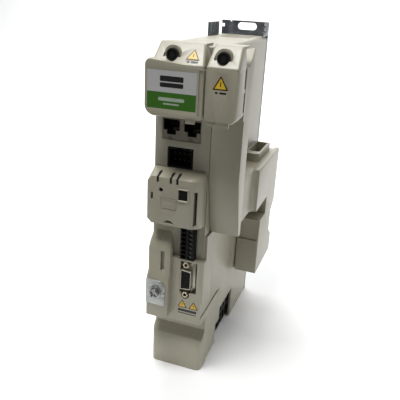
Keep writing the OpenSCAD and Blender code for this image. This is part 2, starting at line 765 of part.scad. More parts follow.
// The hollow of one port: wide for the plug, with a narrower latch channel below
module port_hollow(x, depth) {
  box([x - port_clear_w / 2, -cut, port_cavity_z + 3], [x + port_clear_w / 2, depth, port_cavity_z + port_cavity_h]);
  box([x - latch_w / 2, -cut, port_cavity_z], [x + latch_w / 2, depth, port_cavity_z + 3 + eps]);
}

module port_shield() {
  color("tan") difference() {
    box([port_x - port_block_w / 2, port_front, port_z],
        [port_x + port_block_w / 2, board_y, port_z + port_block_h]);
    for (s = [-0.5, 0.5]) {
      port_hollow(port_x + s * port_pitch, board_y - 1);
      // spring tab window under each port
      box([port_x + s * port_pitch - 1.6, port_front - cut, port_z + 0.6],
          [port_x + s * port_pitch + 1.6, port_front + 0.8, port_z + 2.2]);
    }
  }
}

module port_inserts() {
  color("black") for (s = [-0.5, 0.5])
    box([port_x + s * port_pitch - port_clear_w / 2, port_depth, port_cavity_z + 3],
        [port_x + s * port_pitch + port_clear_w / 2, board_y - 1, port_cavity_z + port_cavity_h]);
}

module port_contacts() {
  wires = 8;
  wire_pitch = 1.02;
  color("gold") for (s = [-0.5, 0.5], i = [0:wires - 1]) {
    x = port_x + s * port_pitch + (i - (wires - 1) / 2) * wire_pitch;
    along_x(x - 0.2, x + 0.2) polygon([
      [port_depth, port_cavity_z + port_cavity_h - 0.6], [3.4, port_cavity_z + port_cavity_h - 0.6],
      [8.2, port_cavity_z + port_cavity_h - 2.4], [8.6, port_cavity_z + port_cavity_h - 2],
      [4.6, port_cavity_z + port_cavity_h - 1], [port_depth, port_cavity_z + port_cavity_h - 1]
    ]);
  }
}

aux_wall = 1.1;
aux_floor = 10.4;

module aux_header() {
  color("black") difference() {
    box([aux_x[0], -0.2, aux_z[0]], [aux_x[1], board_y, aux_z[1]]);
    box([aux_x[0] + aux_wall, -cut, aux_z[0] + aux_wall], [aux_x[1] - aux_wall, aux_floor, aux_z[1] - aux_wall]);
    // keyway in the middle of the top wall
    box([(aux_x[0] + aux_x[1]) / 2 - 2.6, -cut, aux_z[1] - aux_wall - eps],
        [(aux_x[0] + aux_x[1]) / 2 + 2.6, 6, aux_z[1] - 0.4]);
  }
}

module aux_pins() {
  columns = 4;
  pin = 1;
  pitch = (aux_x[1] - aux_x[0] - 4) / columns;
  color("gold") for (i = [0:columns - 1], z = [aux_z[0] + 4.6, aux_z[0] + 9.4]) {
    x = aux_x[0] + 2 + (i + 0.5) * pitch;
    box([x - pin / 2, aux_floor - 6, z - pin / 2], [x + pin / 2, aux_floor, z + pin / 2]);
  }
}

// ---- control terminal ---------------------------------------------------------------------

wire_x = 25.4;                             // column of wire wells
clamp_x = 30.6;                            // column of clamp screws
pin_side = 0.9;
pin_gap = 0.3;

function way_z(i) = plug_z + 0.1 + (i + 0.5) * terminal_pitch;

module control_plug() {
  well = [3.4, 2.5];
  color("black") difference() {
    box([plug_x[0], plug_front, plug_z], [plug_x[1], plug_back, plug_z + plug_h]);
    for (i = [0:terminal_ways - 1]) {
      box([wire_x - well[0] / 2, plug_front - cut, way_z(i) - well[1] / 2],
          [wire_x + well[0] / 2, plug_back - 5, way_z(i) + well[1] / 2]);
      bar_y(clamp_x, way_z(i), 1.4, plug_front - cut, 1.5);
      box([28 - pin_side / 2 - pin_gap, plug_back - 6, way_z(i) - pin_side / 2 - pin_gap],
          [28 + pin_side / 2 + pin_gap, plug_back + cut, way_z(i) + pin_side / 2 + pin_gap]);
    }
  }
}

module control_plug_screws() {
  color("silver") for (i = [0:terminal_ways - 1]) difference() {
    bar_y(clamp_x, way_z(i), 1.3, plug_front + 1, 1.5);
    box([clamp_x - 1.2, plug_front, way_z(i) - 0.2], [clamp_x + 1.2, plug_front + 1.5, way_z(i) + 0.2]);
  }
}

module control_header() {
  color("black") box([plug_x[0] + 0.6, plug_back + clear, plug_z], [plug_x[1] - 0.6, board_y, plug_z + plug_h]);
}

module control_pins() {
  color("gold") for (i = [0:terminal_ways - 1])
    box([28 - pin_side / 2, plug_back - 5.4, way_z(i) - pin_side / 2],
        [28 + pin_side / 2, plug_back + clear, way_z(i) + pin_side / 2]);
}

// ---- encoder socket -----------------------------------------------------------------------

shell_front = -4.2;
shell_t = 0.5;

// The D outline of the socket, standing upright, grown by g
module d_outline(g) {
  long_half = 8.2 + g;
  side_half = 4.1 + g;
  taper = 0.8;
  translate([encoder_x, encoder_z]) polygon([
    [-side_half, -long_half], [side_half, -long_half + taper], [side_half, long_half - taper],
    [-side_half, long_half]
  ]);
}

module encoder_shell() {
  color("tan") difference() {
    union() {
      box([encoder_x - flange_w / 2, flange_front, encoder_z - flange_h / 2],
          [encoder_x + flange_w / 2, flange_front + flange_t, encoder_z + flange_h / 2]);
      along_y(shell_front, flange_front + eps) d_outline(0);
    }
    along_y(shell_front - cut, flange_front + flange_t + cut) d_outline(-shell_t);
    for (s = [-0.5, 0.5])
      bar_y(encoder_x, encoder_z + s * lock_spacing, 1.6, flange_front - cut, flange_front + flange_t + cut);
  }
}

module encoder_insert() {
  color("black") difference() {
    union() {
      along_y(shell_front + 0.3, flange_front + flange_t + 0.5) d_outline(-shell_t);
      along_y(flange_front + flange_t, board_y) d_outline(0.6);
    }
    for (row = [-1:1], i = [0:4])
      bar_y(encoder_x + row * 2, encoder_z + (i - 2) * 2.29 + row * 0.5, 0.5, shell_front - cut, shell_front + 4);
  }
}

module encoder_posts() {
  post_r = 2.7;
  color("goldenrod") for (s = [-0.5, 0.5]) difference() {
    union() {
      translate([encoder_x, flange_front, encoder_z + s * lock_spacing]) rotate([90, 0, 0])
        cylinder(r = post_r, h = flange_front - shell_front, $fn = 6);
      bar_y(encoder_x, encoder_z + s * lock_spacing, 1.4, flange_front - eps, flange_front + 4);
    }
    bar_y(encoder_x, encoder_z + s * lock_spacing, lock_bore_r, shell_front - cut, flange_front);
  }
}

// ---- earth connection ---------------------------------------------------------------------

earth_at = [8.1, panel_z - 27.1];
earth_t = 0.8;
earth_face = -foot_out - earth_t;
earth_shaft_r = 2;

module earth_plate() {
  corner = 5;
  x = [0.4, pillar_w - 1.3];
  z = [earth_at[1] - 10.6, earth_at[1] + 9.8];
  color("silver") difference() {
    along_y(earth_face, -foot_out) union() {
      translate([x[0], z[0]]) square([x[1] - x[0], z[1] - z[0] - corner]);
      translate([x[0], z[0]]) square([x[1] - x[0] - corner, z[1] - z[0]]);
      translate([x[1] - corner, z[1] - corner]) circle(corner);
    }
    for (at = [6.2, 10.4]) box([x[1] - 1, earth_face - cut, z[0] + at], [x[1] + cut, -foot_out + cut, z[0] + at + 1.4]);
    bar_y(earth_at[0], earth_at[1], 2.2, earth_face - cut, -foot_out + cut);
  }
}

washer_t = 1;

module earth_washer() {
  color("silver") difference() {
    bar_y(earth_at[0], earth_at[1], earth_head_r + 0.8, earth_face - washer_t, earth_face);
    bar_y(earth_at[0], earth_at[1], 2.2, earth_face - washer_t - cut, earth_face + cut);
  }
}

module earth_screw() {
  head_h = 2.4;
  head_front = earth_face - washer_t - head_h;
  color("silver") difference() {
    union() {
      bar_y(earth_at[0], earth_at[1], earth_head_r, head_front + 0.6, earth_face - washer_t);
      bar_y(earth_at[0], earth_at[1], earth_head_r - 0.7, head_front, head_front + 0.6 + eps);
      bar_y(earth_at[0], earth_at[1], earth_shaft_r, earth_face - washer_t - eps, -foot_out + 7.5);
    }
    for (turn = [35, 125]) translate([earth_at[0], head_front, earth_at[1]]) rotate([0, turn, 0])
      cube([2 * earth_head_r - 2.4, 2.4, 1], center = true);
  }
}

// ---- terminal covers ----------------------------------------------------------------------

cover_z = collar_z + 1;                    // underside of the covers
cover_back = -collar_out - 1;              // back edge of the covers
cover_front = -cover_out;
cover_face_top = cover_z + cover_face_h;
cover_edge_r = 1.6;
cover_run = 9.2;
cover_rise = 11.4;
cover_lid_back = 4.5;                      // the covers' flat top reaches back over the housing
cover_lean = atan2(cover_rise, cover_run);
cover_top = cover_face_top + cover_rise + cover_edge_r;
grommet_z = cover_face_top + 5.7;
grommet_front = cover_front + 3.6;
grommet_proud = 2;                         // how far a grommet stands out of its seat
pull_h = 2.6;                              // finger pulls hanging under the covers' front edge
pull_w = 6;
pull_y = [cover_front + 0.8, cover_front + 2.8];
grommet_x = [column_w / 2 - 2.8, right_x + right_w / 2 - 0.9];

// Depth and height of a point on the covers' slope, t of the way up it
function slope_at(t) = [
  cover_front + cover_edge_r + t * cover_run - cover_edge_r * sin(cover_lean),
  cover_face_top + t * cover_rise + cover_edge_r * cos(cover_lean)
];

// Outer form of a cover, every face drawn in by inset. Each side is [x, direction inwards,
// lower corner radius, shoulder radius, set-in of the raised middle at its foot and at its top,
// height of the shoulder above the face's top edge]
module cover_form(sides, inset) {
  r = cover_edge_r;
  f = cover_front + inset;
  hull() for (side = sides) {
    x = side[0] + side[1] * inset;
    low = side[2] - inset / 2;
    up = side[3] - inset / 2;
    for (corner = [[low, cover_z + inset + low], [up, cover_face_top + side[6] - inset - up]]) {
      r1 = corner[0];
      translate([x + side[1] * r1, f + 0.7, corner[1]]) rotate([90, 0, 0])
        cylinder(r = r1 - 0.7, h = 0.7, $fn = 32);
      translate([x + side[1] * r1, cover_back, corner[1]]) rotate([90, 0, 0])
        cylinder(r = r1, h = cover_back - f - 1.6, $fn = 32);
    }
  }
  hull() for (side = sides) {
    x = side[0] + side[1] * inset;
    translate([x + side[1] * (side[4] + r), f + r, cover_face_top - 0.4 * inset]) sphere(r, $fn = 20);
    translate([x + side[1] * (side[5] + r), cover_front + r + cover_run, cover_top - r - inset]) sphere(r, $fn = 20);
    translate([x + side[1] * (side[5] + r), cover_back - r, cover_top - r - inset]) rotate([90, 0, 0])
      cylinder(r = r, h = 1, $fn = 20);
    translate([x + side[1] * (side[4] + r) - r, cover_back - r - 1, cover_face_top - 6]) cube([2 * r, 1, 8]);
  }
}

// The flat lid behind the raised middle
module cover_lid(sides) {
  box([sides[0][0] + sides[0][5], cover_back - 4, cover_top - cover_t],
      [sides[1][0] - sides[1][5], cover_lid_back, cover_top]);
}

// One cover as a shell, open at the back, with the seat of its grommet cut into the slope
module cover_shell(sides, mid) {
  x0 = sides[0][0];
  x1 = sides[1][0];
  seat_r = grommet_r + 1.9;
  seat_y = grommet_front + grommet_proud;
  cover_lid(sides);
  difference() {
    union() {
      cover_form(sides, 0);
      bar_y(mid, grommet_z, seat_r, seat_y, grommet_front + 9.5);
    }
    difference() {
      union() {
        cover_form(sides, cover_t);
        box([x0 + cover_t, cover_back - 3, cover_z + 8], [x1 - cover_t, cover_back + cut, cover_face_top - 2]);
        box([x0 + cover_t + sides[0][5], cover_back - 4, cover_face_top - 4],
            [x1 - cover_t - sides[1][5], cover_back + cut, cover_top - cover_t]);
      }
      bar_y(mid, grommet_z, seat_r + 1.2, cover_front, grommet_front + 9.5);
    }
    // the seat's upright face, cut into the foot of the slope
    intersection() {
      bar_y(mid, grommet_z, seat_r, cover_front - cut, seat_y);
      box([x0, cover_front - cut, grommet_z - 1.2], [x1, 0, cover_top + cut]);
    }
    bar_y(mid, grommet_z, grommet_r, cover_front - cut, grommet_front + 9);
  }
}

left_sides = [[0, 1, 7, 4.5, 5, 6.4, 3.4], [column_w, -1, 3, 2.5, 0.4, 3.3, 0.4]];
right_sides = [[right_x, 1, 3, 2.5, 0.3, 1.6, 0.4], [body_w, -1, 5, 2.5, 0, 0.8, 0.4]];

// A finger pull hanging under a cover's front edge
module cover_pull(x) {
  box([x, pull_y[0], cover_z - pull_h], [x + pull_w, pull_y[1], cover_z + cover_t]);
}

module left_cover() {
  color("ivory") difference() {
    union() {
      cover_shell(left_sides, grommet_x[0]);
      cover_pull(column_w - 11.5);
    }
    label_solid(label_z[0], label_z[1]);
    // shallow strip beside the label, finger pull and latch notch in the lower edge
    box([column_w - 3.4, cover_front - cut, cover_z + 3], [column_w - 0.6, cover_front + 0.5, cover_face_top - 2]);
    box([column_w - 12, cover_front - cut, cover_z - cut], [column_w - 5, pull_y[0], cover_z + 1]);
    box([column_w - 5.5, cover_front + 6, cover_z - cut], [column_w + cut, cover_back + cut, cover_z + 2.4]);
  }
}

module right_cover() {
  pulls_x = [right_x + 2, right_x + 10.5];
  color("ivory") difference() {
    union() {
      cover_shell(right_sides, grommet_x[1]);
      for (x = pulls_x) cover_pull(x);
    }
    right_mark_solid();
    for (x = pulls_x)
      box([x - 0.5, cover_front - cut, cover_z - cut], [x + pull_w + 0.5, pull_y[0], cover_z + 1]);
    // the right wall is cut back above and below the latch tongue
    for (z = [[5.5, 17.6], [20.2, 32]])
      box([body_w - cover_t - cut, cover_back - 2.6, cover_z + z[0]], [body_w + cut, cover_back + cut, cover_z + z[1]]);
  }
}

// A round blanking plug with a raised rim
module grommet(mid) {
  color("black") difference() {
    bar_y(mid, grommet_z, grommet_r, grommet_front, grommet_front + 9);
    difference() {
      bar_y(mid, grommet_z, grommet_r - 0.9, grommet_front - cut, grommet_front + 0.8);
      bar_y(mid, grommet_z, grommet_r - 2.2, grommet_front - 2 * cut, grommet_front + 2);
    }
  }
}

module left_grommet() { grommet(grommet_x[0]); }

module right_grommet() { grommet(grommet_x[1]); }

label_x = [2.4, column_w - 4.7];
label_t = 0.3;
band_h = 10.5;
label_z = [cover_z + 5.4, cover_face_top - 3.6];

module label_solid(z0, z1) {
  box([label_x[0], cover_front, z0], [label_x[1], cover_front + label_t, z1]);
}

module label_plate() {
  color("lightgray") label_solid(label_z[0] + band_h, label_z[1]);
}

module label_band() {
  color("forestgreen") label_solid(label_z[0], label_z[0] + band_h);
}

// A plain triangular mark lying in the x-z plane, its middle at x and z
module mark_outline(x, z, h) {
  half = h * 0.58;
  polygon([[x - half, z - h / 2], [x + half, z - h / 2], [x, z + h / 2]]);
}

mark_t = 0.25;

module left_mark() {
  at = slope_at(0.5);
  color("gold") translate([0, at[0], at[1]]) rotate([cover_lean - 90, 0, 0]) along_y(-mark_t, 0)
    mark_outline(31.2, 0, 8);
}

module right_mark_solid() {
  along_y(cover_front, cover_front + mark_t) mark_outline(right_x + 10.2, cover_face_top - 8, 9);
}

module right_mark() {
  color("gold") right_mark_solid();
}

module caution_marks() {
  color("gold") along_y(-panel_out - mark_t, -panel_out) union() {
    mark_outline(26.8, panel_z - 37.4, 6.4);
    mark_outline(35.7, panel_z - 37.5, 6.4);
  }
}

// ---- the whole drive ----------------------------------------------------------------------

place() rear_case();
place() upper_front_housing();
place() lower_front_housing();
place() base_housing();
place() right_housing();
place() bay_housing();
place() back_plate();
place() side_sheet();
place() heatsink();
place() plate_screws();
place() fan_frame();
place() fan_rotor();
place() power_board();
place() control_board();
place() bus_capacitors();
place() power_module();
place() rectifier();
place() supply_transformer();
place() supply_terminals();
place() bus_terminals();
place() motor_terminals();
place() terminal_screws();
place() keypad_pod();
place() display_window();
place() display_module();
place() reset_button();
place() reset_switch();
place() card_socket();
place() status_lens();
place() port_shield();
place() port_inserts();
place() port_contacts();
place() aux_header();
place() aux_pins();
place() control_header();
place() control_pins();
place() control_plug();
place() control_plug_screws();
place() encoder_shell();
place() encoder_insert();
place() encoder_posts();
place() earth_plate();
place() earth_washer();
place() earth_screw();
place() left_cover();
place() left_grommet();
place() label_plate();
place() label_band();
place() left_mark();
place() right_cover();
place() right_grommet();
place() right_mark();
place() caution_marks();
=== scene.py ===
import math

import bmesh
import bpy
import numpy as np
from mathutils import Matrix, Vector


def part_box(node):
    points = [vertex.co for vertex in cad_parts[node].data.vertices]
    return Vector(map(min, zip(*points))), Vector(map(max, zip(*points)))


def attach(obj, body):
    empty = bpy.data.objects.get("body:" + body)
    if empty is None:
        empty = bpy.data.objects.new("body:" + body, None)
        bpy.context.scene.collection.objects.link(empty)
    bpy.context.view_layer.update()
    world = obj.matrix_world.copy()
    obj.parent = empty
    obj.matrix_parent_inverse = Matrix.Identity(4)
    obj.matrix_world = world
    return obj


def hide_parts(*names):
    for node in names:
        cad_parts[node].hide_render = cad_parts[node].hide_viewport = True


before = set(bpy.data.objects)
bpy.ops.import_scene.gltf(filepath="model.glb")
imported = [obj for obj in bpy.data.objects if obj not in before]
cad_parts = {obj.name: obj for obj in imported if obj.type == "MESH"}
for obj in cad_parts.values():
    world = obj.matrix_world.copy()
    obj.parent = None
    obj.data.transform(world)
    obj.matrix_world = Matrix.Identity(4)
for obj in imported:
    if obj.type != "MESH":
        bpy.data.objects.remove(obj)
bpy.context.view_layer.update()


# ---- Camera --------------------------------------------------------------------------------
# The drive stands upright and is seen from its front right, a little above its top. A normal
# lens stands about 0.4 m away, turned by a small roll, with everything sharp.
def aim(azimuth, elevation, roll):
    """The camera's three axes: forward from the two angles, then right and up turned by roll."""
    ca, sa = math.cos(azimuth), math.sin(azimuth)
    ce, se = math.cos(elevation), math.sin(elevation)
    forward = np.array([-sa * ce, ca * ce, -se])
    right = np.cross(forward, [0.0, 0.0, 1.0])
    right /= np.linalg.norm(right)
    up = np.cross(right, forward)
    turned_right = math.cos(roll) * right - math.sin(roll) * up
    turned_up = math.sin(roll) * right + math.cos(roll) * up
    return turned_right, turned_up, -forward


eye = (0.1111, -0.3834, 0.2797)
lens = bpy.data.cameras.new("lens")
lens.sensor_width = 36.0
lens.lens = 46.78
lens.shift_x = 0.0223
lens.shift_y = -0.0062
lens.clip_start = 0.01
viewer = bpy.data.objects.new("viewer", lens)
bpy.context.scene.collection.objects.link(viewer)
right, up, back = aim(math.radians(19.43), math.radians(21.14), math.radians(-2.72))
viewer.matrix_world = Matrix([[right[i], up[i], back[i], eye[i]] for i in range(3)] + [[0, 0, 0, 1]])
bpy.context.scene.camera = viewer
bpy.context.scene.view_settings.view_transform = "Standard"


# ---- Studio --------------------------------------------------------------------------------
# A plain white sheet of paper, glowing faintly, runs under the drive and curves up behind it. A
# soft lamp stands high in front on the left, one lights the paper, a weak one stands at the right.
def paper_sweep(name, left, right, profile):
    """A sheet: the profile, pairs of y and z, carried along x from left to right."""
    path = np.array(profile)
    across = np.linspace(left, right, 9)
    grid = np.empty((len(path), len(across), 3))
    grid[..., 0] = across
    grid[..., 1:] = path[:, None, :]
    i, j = np.meshgrid(np.arange(len(path) - 1), np.arange(len(across) - 1), indexing="ij")
    k = i * len(across) + j
    faces = np.stack([k, k + 1, k + len(across) + 1, k + len(across)], 2).reshape(-1, 4)
    mesh = bpy.data.meshes.new(name)
    mesh.from_pydata(grid.reshape(-1, 3).tolist(), [], faces.tolist())
    mesh.polygons.foreach_set("use_smooth", [True] * len(mesh.polygons))
    sheet = bpy.data.objects.new(name, mesh)
    bpy.context.scene.collection.objects.link(sheet)
    return sheet


bend_from, bend_radius, paper_top = 1.0, 0.5, 1.4
floor = [(-0.25, 0.0), (0.0, 0.0), (0.5, 0.0)]
curve = [(bend_from + bend_radius * math.sin(a), bend_radius - bend_radius * math.cos(a))
         for a in np.linspace(0.0, math.pi / 2, 16)]
sweep = paper_sweep("sweep", -2.0, 2.0, floor + curve + [(bend_from + bend_radius, paper_top)])
paper = bpy.data.materials.new("studio_paper")
paper.use_nodes = True
paper_shader = paper.node_tree.nodes["Principled BSDF"]
paper_shader.inputs["Base Color"].default_value = (0.94, 0.94, 0.94, 1)
paper_shader.inputs["Roughness"].default_value = 0.8
paper_shader.inputs["Emission Color"].default_value = (1.0, 1.0, 1.0, 1)
paper_shader.inputs["Emission Strength"].default_value = 0.10
sweep.data.materials.append(paper)


def panel(name, at, towards, size, watts):
    """A square soft light at a place, turned to face a point."""
    lamp = bpy.data.lights.new(name, "AREA")
    lamp.shape = "SQUARE"
    lamp.size = size
    lamp.energy = watts
    stand = bpy.data.objects.new(name, lamp)
    bpy.context.scene.collection.objects.link(stand)
    z = np.array(at, float) - np.array(towards, float)
    z /= np.linalg.norm(z)
    x = np.cross([0.0, 1.0, 0.0], z)
    x /= np.linalg.norm(x)
    y = np.cross(z, x)
    stand.matrix_world = Matrix([[x[i], y[i], z[i], at[i]] for i in range(3)] + [[0, 0, 0, 1]])


panel("high_lamp", (-0.16, -0.30, 1.02), (0.0, 0.0, 0.15), 0.32, 7.4)
panel("paper_panel", (-0.3, 0.7, 1.3), (-0.3, 1.5, 0.3), 1.4, 24.0)
panel("right_panel", (1.3, -0.1, 0.7), (0.0, 0.0, 0.12), 0.7, 0.8)
sky = bpy.data.worlds.new("room")
sky.use_nodes = True
sky.node_tree.nodes["Background"].inputs["Color"].default_value = (0.96, 0.98, 1.0, 1)
sky.node_tree.nodes["Background"].inputs["Strength"].default_value = 0.17
bpy.context.scene.world = sky


# ---- Cream mouldings -----------------------------------------------------------------------
# The case tube, the front housings, the option bay and the pod are injection mouldings in cream
# flame-retardant plastic with a fine spark-eroded grain. Their outer edges are softly rounded.
def finish(name, light, dark, patch, grain, depth, rough, metallic=0.0, specular=0.5):
    """A surface whose tone and gloss drift, with a fine raised grain.

    The tone runs from dark to light with 0.65 of a cloud of patches plus 0.35 of a cloud of flecks,
    each six grains wide. rough holds the least and the most roughness, which follow the flecks.
    patch, grain and the grain's depth are in metres."""
    drift_share, fleck_share, fleck_grains = 0.65, 0.35, 6.0
    made = bpy.data.materials.new(name)
    made.use_nodes = True
    nodes, links = made.node_tree.nodes, made.node_tree.links
    shader = nodes["Principled BSDF"]
    place = nodes.new("ShaderNodeTexCoord")

    def cloud(size, detail):
        noise = nodes.new("ShaderNodeTexNoise")
        noise.inputs["Scale"].default_value = 1.0 / size
        noise.inputs["Detail"].default_value = detail
        links.new(place.outputs["Object"], noise.inputs["Vector"])
        return noise

    drift, fine, fleck = cloud(patch, 4.0), cloud(grain, 3.0), cloud(grain * fleck_grains, 2.0)
    tones = nodes.new("ShaderNodeValToRGB")
    tones.color_ramp.elements[0].position = 0.3
    tones.color_ramp.elements[0].color = (*dark, 1)
    tones.color_ramp.elements[1].position = 0.7
    tones.color_ramp.elements[1].color = (*light, 1)
    mixed = nodes.new("ShaderNodeMath")
    mixed.operation = "MULTIPLY_ADD"
    mixed.inputs[1].default_value = fleck_share
    links.new(fleck.outputs["Fac"], mixed.inputs[0])
    part = nodes.new("ShaderNodeMath")
    part.operation = "MULTIPLY"
    part.inputs[1].default_value = drift_share
    links.new(drift.outputs["Fac"], part.inputs[0])
    links.new(part.outputs[0], mixed.inputs[2])
    links.new(mixed.outputs[0], tones.inputs["Fac"])
    links.new(tones.outputs["Color"], shader.inputs["Base Color"])
    gloss = nodes.new("ShaderNodeMapRange")
    gloss.inputs["To Min"].default_value = rough[0]
    gloss.inputs["To Max"].default_value = rough[1]
    links.new(fleck.outputs["Fac"], gloss.inputs["Value"])
    links.new(gloss.outputs["Result"], shader.inputs["Roughness"])
    bump = nodes.new("ShaderNodeBump")
    bump.inputs["Strength"].default_value = 0.6
    bump.inputs["Distance"].default_value = depth
    links.new(fine.outputs["Fac"], bump.inputs["Height"])
    links.new(bump.outputs["Normal"], shader.inputs["Normal"])
    shader.inputs["Metallic"].default_value = metallic
    shader.inputs["Specular IOR Level"].default_value = specular
    return made


def dress(node, surface):
    """Gives a node's object, or a new piece, one surface all over."""
    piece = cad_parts[node] if isinstance(node, str) else node
    piece.data.materials.clear()
    piece.data.materials.append(surface)


def softened(node, body, radius, surface, angle=32.0, steps=3):
    """A copy of a node with merged points and flat faces, its sharp edges rounded to a radius.

    Points closer than weld become one, faces that turn by less than flat become one, and an edge
    that turns by more than angle, in degrees, is rounded in as many steps."""
    weld, flat = 2e-6, math.radians(1.0)
    cut = bmesh.new()
    cut.from_mesh(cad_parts[node].data)
    bmesh.ops.remove_doubles(cut, verts=cut.verts, dist=weld)
    bmesh.ops.dissolve_limit(cut, angle_limit=flat, verts=cut.verts, edges=cut.edges)
    mesh = bpy.data.meshes.new(node + "_moulding")
    cut.to_mesh(mesh)
    cut.free()
    mesh.polygons.foreach_set("use_smooth", [True] * len(mesh.polygons))
    piece = bpy.data.objects.new(node + "_moulding", mesh)
    bpy.context.scene.collection.objects.link(piece)
    edge = piece.modifiers.new("rounded_edges", "BEVEL")
    edge.width = radius
    edge.segments = steps
    edge.limit_method = "ANGLE"
    edge.angle_limit = math.radians(angle)
    edge.use_clamp_overlap = True
    edge.harden_normals = True
    edge.miter_outer = "MITER_ARC"
    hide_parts(node)
    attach(piece, body)
    dress(piece, surface)


cream = finish("cream_moulding", (0.375, 0.350, 0.262), (0.34, 0.317, 0.236), 0.05, 0.00035,
               0.00006, (0.36, 0.48), specular=0.8)
softened("rear_case", "drive", 0.0004, cream)
softened("upper_front_housing", "drive", 0.0006, cream)
softened("lower_front_housing", "drive", 0.0005, cream)
softened("base_housing", "drive", 0.0006, cream)
softened("right_housing", "drive", 0.0012, cream)
softened("bay_housing", "drive", 0.0008, cream)
softened("keypad_pod", "drive", 0.0003, cream)


# ---- Pull-off terminal covers --------------------------------------------------------------
# Two shells in the same cream plastic slide straight off the front. Each carries a black rubber
# plug pressed into a round seat in its sloping shoulder.
softened("left_cover", "left_cover_body", 0.0005, cream)
softened("right_cover", "right_cover_body", 0.0005, cream)
rubber = finish("black_rubber", (0.012, 0.012, 0.012), (0.008, 0.008, 0.008), 0.004, 0.0003,
                0.00003, (0.4, 0.55), specular=0.35)
dress("left_grommet", rubber)
dress("right_grommet", rubber)


# ---- Printed film ---------------------------------------------------------------------------
# A silver-grey film with a green field below it fills the left cover's face. Plain bars stand
# where a maker would print words, each a skin of ink that starts inside the film.
def rounded_outline(width, height, radius, around=48):
    """A rectangle with quarter-circle corners, as points anticlockwise about its middle."""
    t = np.linspace(0.0, 2.0 * math.pi, around, endpoint=False) + math.pi / around
    c, s = np.cos(t), np.sin(t)
    return np.stack([np.sign(c) * (width / 2 - radius) + radius * c,
                     np.sign(s) * (height / 2 - radius) + radius * s], 1)


def triangle_outline(base, height, radius, around=48):
    """A triangle with round corners: each third of the turn circles one corner."""
    t = np.linspace(0.0, 2.0 * math.pi, around, endpoint=False) + math.pi / around - math.pi / 6
    corner = np.floor(((t + math.pi / 6) % (2.0 * math.pi)) / (2.0 * math.pi / 3)).astype(int)
    aside, below = base / 2 - 1.7 * radius, radius - height / 2
    middle = np.array([[aside, below], [0.0, height / 2 - 2.0 * radius], [-aside, below]])
    return middle[corner] + radius * np.stack([np.cos(t - math.pi / 6), np.sin(t - math.pi / 6)], 1)


def shell_piece(name, points, faces, surface, body):
    """A new piece from points and faces, its faces turned outward, that rides on a body."""
    mesh = bpy.data.meshes.new(name)
    mesh.from_pydata(points, [], faces)
    shell = bmesh.new()
    shell.from_mesh(mesh)
    bmesh.ops.recalc_face_normals(shell, faces=shell.faces)
    shell.to_mesh(mesh)
    shell.free()
    piece = bpy.data.objects.new(name, mesh)
    bpy.context.scene.collection.objects.link(piece)
    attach(piece, body)
    dress(piece, surface)


def stacked(name, outline, steps, origin, across, upward, surface, body, ring=False):
    """Rings of one outline, each drawn in by an inset and lifted to a height, joined in order.

    A point is origin + x * across + y * upward + height * (across x upward). A flat face closes
    each end, or the last ring joins the first for a frame."""
    across, upward = np.array(across, float), np.array(upward, float)
    out = np.cross(across, upward)
    ahead = np.roll(outline, -1, 0) - np.roll(outline, 1, 0)
    inward = np.stack([-ahead[:, 1], ahead[:, 0]], 1) / np.linalg.norm(ahead, axis=1)[:, None]
    n, m = len(outline), len(steps)
    flat = np.array([outline + inset * inward for inset, _ in steps])
    lift = np.array([height for _, height in steps])
    grid = (np.array(origin, float) + flat[..., :1] * across + flat[..., 1:] * upward
            + lift[:, None, None] * out)
    i, j = np.meshgrid(np.arange(m if ring else m - 1), np.arange(n), indexing="ij")
    i2, j2 = (i + 1) % m, (j + 1) % n
    faces = np.stack([i * n + j, i * n + j2, i2 * n + j2, i2 * n + j], 2).reshape(-1, 4).tolist()
    if not ring:
        faces += [list(range(n))[::-1], list(range((m - 1) * n, m * n))]
    shell_piece(name, grid.reshape(-1, 3).tolist(), faces, surface, body)


def middle_of(node):
    """The middle of a node's box."""
    lo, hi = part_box(node)
    return (np.array(lo) + np.array(hi)) / 2


rightward, upright = (1, 0, 0), (0, 0, 1)
film_grey = finish("silver_film", (0.50, 0.50, 0.49), (0.46, 0.46, 0.45), 0.02, 0.0002,
                   0.00001, (0.34, 0.42))
film_green = finish("green_film", (0.038, 0.145, 0.007), (0.032, 0.128, 0.006), 0.02, 0.0002,
                    0.00001, (0.34, 0.42))
ink_dark = finish("dark_ink", (0.010, 0.011, 0.010), (0.007, 0.008, 0.007), 0.004, 0.0001,
                  0.00001, (0.35, 0.45))
ink_pale = finish("pale_ink", (0.40, 0.46, 0.37), (0.36, 0.42, 0.33), 0.004, 0.0001,
                  0.00001, (0.35, 0.45))
dress("label_plate", film_grey)
dress("label_band", film_green)
ink, sunk = 0.00003, -0.0001
bar_steps = [(0, sunk), (0, ink * 0.6), (0.00005, ink)]
grey_lo, grey_hi = (np.array(c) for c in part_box("label_plate"))
green_lo, green_hi = (np.array(c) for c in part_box("label_band"))
grey_middle, green_middle = (grey_lo + grey_hi) / 2, (green_lo + green_hi) / 2
for k, (share, width, height) in enumerate([(0.63, 0.0158, 0.0034), (0.34, 0.0158, 0.0028)]):
    at = grey_middle[0], grey_lo[1], grey_lo[2] + share * (grey_hi[2] - grey_lo[2])
    stacked(f"label_bar_{k}", rounded_outline(width, height, 0.0007), bar_steps,
            at, rightward, upright, ink_dark, "left_cover_body")
for k, (up_by, width, height) in enumerate([(0.0009, 0.0178, 0.0022), (-0.0020, 0.0110, 0.0010)]):
    at = green_middle[0], green_lo[1], green_middle[2] + up_by
    stacked(f"band_bar_{k}", rounded_outline(width, height, 0.45 * height), bar_steps,
            at, rightward, upright, ink_pale, "left_cover_body")


